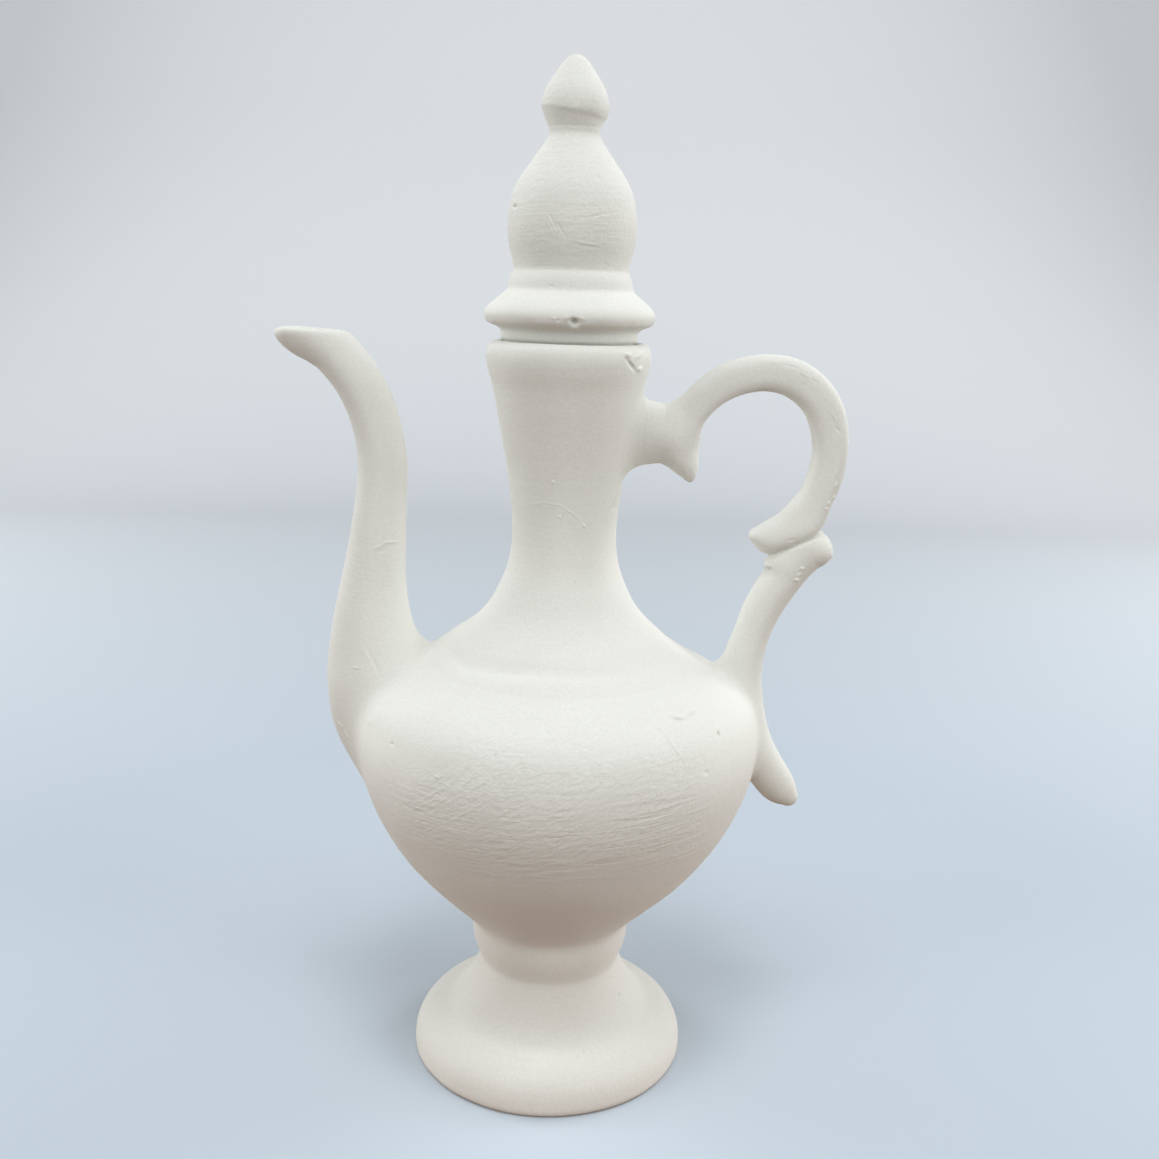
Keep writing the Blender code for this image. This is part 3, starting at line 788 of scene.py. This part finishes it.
# %% Skin the lid
LID_CELL = 0.5
points, quads = skin(luted_lid, (-30, -30, 223), (30, 30, 333), LID_CELL)
points, quads = refine_marks(points, quads, lid_marks)
points, normals = settle(stopper, points)
is_bud = points[quads].mean(1)[:, 2] > LID_TOP
lid_piece = casting("lid_bisque", "stopper", ["lid"], points, normals, quads[~is_bud])
bud_piece = casting("finial_bisque", "stopper", ["finial"], points, normals, quads[is_bud])

# %% [markdown]
# Colours and nodes
#
# Colours are written as the hex codes that a screen shows, and the shader wants linear
# light, so one function turns one into the other. Another adds a node with its settings and
# its links in one call, which keeps a material as short as its description. A third turns
# the real size of a mark into the scale of a pattern.

# %% Colour and node helpers
def colour(hex_code):
    """Linear RGBA from an sRGB hex code."""
    parts = [int(hex_code[i : i + 2], 16) / 255 for i in (1, 3, 5)]
    return [c / 12.92 if c <= 0.04045 else ((c + 0.055) / 1.055) ** 2.4 for c in parts] + [1.0]


def add(tree, kind, inputs=None, **settings):
    """A node with its settings; each input is a value, or a socket to link from."""
    made = tree.nodes.new("ShaderNode" + kind)
    for name, value in settings.items():
        setattr(made, name, value)
    for name, value in (inputs or {}).items():
        if isinstance(value, bpy.types.NodeSocket):
            tree.links.new(value, made.inputs[name])
        else:
            made.inputs[name].default_value = value
    return made


def per(size):
    """The scale of a pattern in metre coordinates, from the size of its mark in mm."""
    return 1 / (size * MM)

# %% [markdown]
# White bisque earthenware
#
# Biscuit-fired white earthenware is porous and matt: light goes in among the grains and comes
# back scattered, so it has almost no shine and a broad, chalky shading. A Principled shader
# with high roughness and some diffuse roughness gives that. Its white is warm and not quite
# even. Over it lie two kinds of marks: the fine grain of the clay, and the strokes that a
# sponge leaves as it is drawn round the pot. The strokes are bump, because they are a tenth
# of a millimetre deep; anything larger is in the form already.

# %% The bisque
TALL = 330.0  # table to the tip of the bud
# length and width of a stroke, its climb in degrees, its depth, the top of its band on the
# belly, and its strength on the lid
SPONGE_STROKES = (
    (24, 1.7, -3, 0.65, 109, 0.3), (12, 1.1, -40, 0.2, 122, 0.7), (3.6, 1.7, -12, 0.32, 130, 0.7),
)
BAND_FOOT = 98  # below it the strokes fade out over the belly's underside
BAND_EDGE = 14  # a band fades out over this height
FLANGE, DOME_FOOT, DOME_TOP = 256, 268, 298
PATCH, GRAIN, GRIT = 25, 0.7, 1.3  # sizes of the patches of tint, the speckle and the rough grain


def white_bisque():
    material = bpy.data.materials.new("white_bisque_earthenware")
    material.use_nodes = True
    tree = material.node_tree
    shader = tree.nodes["Principled BSDF"]
    shader.inputs["Roughness"].default_value = 0.86
    shader.inputs["Diffuse Roughness"].default_value = 0.45
    shader.inputs["IOR"].default_value = 1.45
    place = add(tree, "TexCoord").outputs["Object"]

    # colour: slow patches of tint, and a faint speckle. The clay's grains are under 0.1 mm,
    # too fine for the picture, so they are drawn as coarse as they need to show
    patches = add(tree, "TexNoise", {"Vector": place, "Scale": per(PATCH), "Detail": 3.0}).outputs["Fac"]
    grains = add(tree, "TexNoise", {"Vector": place, "Scale": per(GRAIN), "Detail": 2.0}).outputs["Fac"]
    tint = add(tree, "Mix", {"Factor": patches, 6: colour("#EFF0EB"), 7: colour("#E9EAE4")},
               data_type="RGBA")
    speck = add(tree, "MapRange", {"Value": grains, "From Min": 0.3, "From Max": 0.7,
                                   "To Min": 0.96, "To Max": 1.03})
    shade = add(tree, "VectorMath", {0: tint.outputs[2], "Scale": speck.outputs[0]}, operation="SCALE")
    tree.links.new(shade.outputs[0], shader.inputs["Base Color"])

    # strokes of the sponge on the pot and the lid's dome, none on the limbs
    axes = add(tree, "SeparateXYZ", {"Vector": place}).outputs
    share = add(tree, "Math", {0: axes["Z"], 1: TALL * MM}, operation="DIVIDE").outputs[0]
    sideways = add(tree, "Math", {0: axes["X"]}, operation="ABSOLUTE").outputs[0]
    on_pot = add(tree, "MapRange", {"Value": sideways, "From Min": 34 * MM, "From Max": 56 * MM,
                                    "To Min": 1.0, "To Max": 0.0}).outputs[0]
    normal = None
    for long, high, climb, depth, top, on_lid in SPONGE_STROKES:
        wiped = add(tree, "ValToRGB", {"Fac": share})
        strength = {BAND_FOOT - BAND_EDGE: 0.1, BAND_FOOT: 1.0, top: 1.0, top + BAND_EDGE: 0.2,
                    FLANGE: 0.1, DOME_FOOT: on_lid, DOME_TOP: on_lid}
        for at, amount in strength.items():
            wiped.color_ramp.elements.new(at / TALL).color = (amount, amount, amount, 1)
        wiped.color_ramp.elements[0].color = (0.1, 0.1, 0.1, 1)
        wiped.color_ramp.elements[-1].color = (0.1, 0.1, 0.1, 1)
        drawn = add(tree, "Mapping", {"Vector": place, "Rotation": (0, math.radians(climb), 0),
                                      "Scale": (long * MM, long * MM, high * MM)}, vector_type="TEXTURE")
        noise = add(tree, "TexNoise", {"Vector": drawn.outputs[0], "Scale": 1.0, "Detail": 2.0,
                                       "Distortion": 0.6}).outputs["Fac"]
        # a stroke starts and stops: it is drawn only where a slower noise lets it through
        where = add(tree, "TexNoise", {"Vector": place, "Scale": per(16 + long), "Detail": 2.0})
        where = where.outputs["Fac"]
        where = add(tree, "MapRange", {"Value": where, "From Min": 0.32, "From Max": 0.52}).outputs[0]
        where = add(tree, "Math", {0: where, 1: wiped.outputs["Color"]}, operation="MULTIPLY").outputs[0]
        where = add(tree, "Math", {0: where, 1: on_pot}, operation="MULTIPLY").outputs[0]
        bump = {"Height": noise, "Strength": where, "Distance": depth * MM}
        if normal:
            bump["Normal"] = normal
        normal = add(tree, "Bump", bump).outputs[0]
    grit = add(tree, "TexNoise", {"Vector": place, "Scale": per(GRIT), "Detail": 3.0}).outputs["Fac"]
    grainy = add(tree, "Bump", {"Height": grit, "Normal": normal, "Strength": 0.7, "Distance": 0.1 * MM})
    tree.links.new(grainy.outputs[0], shader.inputs["Normal"])
    return material


bisque = white_bisque()
for piece in vessel_pieces + [lid_piece, bud_piece]:
    piece.data.materials.append(bisque)
print("material", bisque.name)

# %% [markdown]
# The stage
#
# A white object needs a pale ground that is a little darker than itself, or its outline
# is lost. The floor and the backdrop are one bent sheet, as in a photographer's studio. What
# the camera sees of the sheet and what it throws back on the pot are two colours: it looks
# cool and pale, and the light that it sends up near the foot is warm and dim, which gives
# the underside of the belly its brown shade.

# %% Floor and backdrop
FLOOR_FRONT, FLOOR_BACK = -1.6, 1.0
BEND, PAPER_TOP, HALF_WIDTH = 0.5, 2.4, 2.2
BEND_STEPS = 12


def sweep():
    """A floor that bends up into a backdrop, as one strip."""
    section = [(FLOOR_FRONT, 0.0), (FLOOR_BACK, 0.0)]
    for k in range(1, BEND_STEPS + 1):
        angle = math.radians(90 * k / BEND_STEPS)
        section.append((FLOOR_BACK + BEND * math.sin(angle), BEND - BEND * math.cos(angle)))
    section.append((FLOOR_BACK + BEND, PAPER_TOP))
    verts = [(x, y, z) for y, z in section for x in (-HALF_WIDTH, HALF_WIDTH)]
    faces = [(2 * i, 2 * i + 1, 2 * i + 3, 2 * i + 2) for i in range(len(section) - 1)]
    mesh = bpy.data.meshes.new("paper_sweep")
    mesh.from_pydata(verts, [], faces)
    mesh.shade_smooth()
    made = bpy.data.objects.new("paper_sweep", mesh)
    bpy.context.scene.collection.objects.link(made)
    return made


def seen_rays(tree):
    """1 for the rays that show the stage itself: from the camera, by reflection or through glass."""
    path = add(tree, "LightPath").outputs
    direct = add(tree, "Math", {0: path["Is Camera Ray"], 1: path["Is Glossy Ray"]}, operation="ADD")
    seen = add(tree, "Math", {0: direct.outputs[0], 1: path["Is Transmission Ray"]}, operation="ADD")
    return seen.outputs[0]


def pale_paper():
    """Matt seamless paper, which gives the eye no glare and no edge to rest on."""
    material = bpy.data.materials.new("pale_paper")
    material.use_nodes = True
    tree = material.node_tree
    shader = tree.nodes["Principled BSDF"]
    shader.inputs["Roughness"].default_value = 0.9
    shader.inputs["Specular IOR Level"].default_value = 0.0
    seen = seen_rays(tree)
    place = add(tree, "TexCoord").outputs["Object"]
    away = add(tree, "VectorMath", {0: place}, operation="LENGTH").outputs["Value"]
    far = add(tree, "MapRange", {"Value": away, "From Min": 0.2, "From Max": 0.6}).outputs[0]
    farther = add(tree, "MapRange", {"Value": away, "From Min": 0.3, "From Max": 1.6}).outputs[0]
    lit_by = add(tree, "Mix", {"Factor": far, 6: colour("#8C6648"), 7: colour("#807E78")},
                 data_type="RGBA").outputs[2]
    looks = add(tree, "Mix", {"Factor": farther, 6: colour("#CAD6E1"), 7: colour("#F4F8FC")},
                data_type="RGBA").outputs[2]
    mix = add(tree, "Mix", {"Factor": seen, 6: lit_by, 7: looks}, data_type="RGBA")
    tree.links.new(mix.outputs[2], shader.inputs["Base Color"])
    # the far paper is lit less than the floor, so to the camera it glows a little
    glow = add(tree, "Math", {0: farther, 1: seen}, operation="MULTIPLY")
    glow = add(tree, "Math", {0: glow.outputs[0], 1: 0.15}, operation="MULTIPLY")
    shader.inputs["Emission Color"].default_value = colour("#EAF0F6")
    tree.links.new(glow.outputs[0], shader.inputs["Emission Strength"])
    return material


paper = sweep()
paper.data.materials.append(pale_paper())
print("paper bends up", FLOOR_BACK, "m behind the pot")

# %% [markdown]
# Light
#
# Matt white needs soft light with a direction, or its form goes flat. A box high in front
# lights the shoulders and the foot, two at the sides and two behind draw the limbs and the
# rims, and a dim one in front keeps the neck from going grey. The lamps stay low enough that
# no white clips, and the air adds a little light from everywhere. To the camera the air is
# as pale as the paper, so that there is no dark ground from any side.

# %% Lamps and air
def softbox(name, place, height_of_aim, size, watts):
    """A square area lamp that looks at this height of the pot's axis."""
    lamp = bpy.data.lights.new(name, "AREA")
    lamp.shape = "SQUARE"
    lamp.size = size
    lamp.energy = watts
    made = bpy.data.objects.new(name, lamp)
    bpy.context.scene.collection.objects.link(made)
    made.location = place
    made.rotation_mode = "QUATERNION"
    ahead = Vector((0, 0, height_of_aim)) - Vector(place)
    made.rotation_quaternion = ahead.to_track_quat("-Z", "Y")


LAMPS = (
    ("high_box", (0.0, -0.48, 1.5), 0.1, 0.5, 6.3),
    ("front_box", (0.0, -0.9, 1.0), 0.1, 0.6, 1.8),
    ("left_box", (-1.2, -0.6, 0.6), 0.15, 0.8, 6.9),
    ("right_box", (1.2, -0.6, 0.6), 0.15, 0.8, 8.2),
    ("back_left_box", (-1.1, 0.5, 0.8), 0.15, 0.8, 6.0),
    ("back_right_box", (1.1, 0.5, 0.8), 0.15, 0.8, 6.8),
)
for lamp in LAMPS:
    softbox(*lamp)
world = bpy.data.worlds.new("studio_air")
world.use_nodes = True
air = world.node_tree
air.nodes["Background"].inputs["Color"].default_value = colour("#F4F7FB")
strength = add(air, "MapRange", {"Value": seen_rays(air), "To Min": 0.2, "To Max": 0.8}).outputs[0]
air.links.new(strength, air.nodes["Background"].inputs["Strength"])
bpy.context.scene.world = world
print(len(LAMPS), "lamps of", round(sum(lamp[-1] for lamp in LAMPS), 1), "W in all")

# %% [markdown]
# The camera
#
# The picture was taken from close by and a little above, so the foot's ring opens into an
# oval while the lid is seen almost from the side. A long lens would flatten that. The focal
# length is given in pixels of the picture's side, because that is how a match with a picture
# finds it, and the lens follows from it.

# %% Camera
PHOTO_SIDE = 1159  # pixels
FOCAL_PIXELS = 1250
SENSOR = 36.0  # millimetres
DOWN, ASIDE, ROLL = 13.24, 0.78, 1.7  # degrees
camera_data = bpy.data.cameras.new("camera")
camera_data.sensor_width = SENSOR
camera_data.lens = SENSOR * FOCAL_PIXELS / PHOTO_SIDE
camera_data.clip_start = 0.01
camera = bpy.data.objects.new("camera", camera_data)
bpy.context.scene.collection.objects.link(camera)
camera.location = (0.0, -0.4003, 0.2627)
pan = Matrix.Rotation(math.radians(-ASIDE), 4, "Z")
tilt = Matrix.Rotation(math.radians(90 - DOWN), 4, "X")
roll = Matrix.Rotation(math.radians(ROLL), 4, "Z")
camera.rotation_euler = (pan @ tilt @ roll).to_euler()
bpy.context.scene.camera = camera
bpy.context.scene.view_settings.view_transform = "Standard"
print("lens of", round(camera_data.lens, 1), "mm,", round(-camera.location.y, 2), "m in front of the pot")
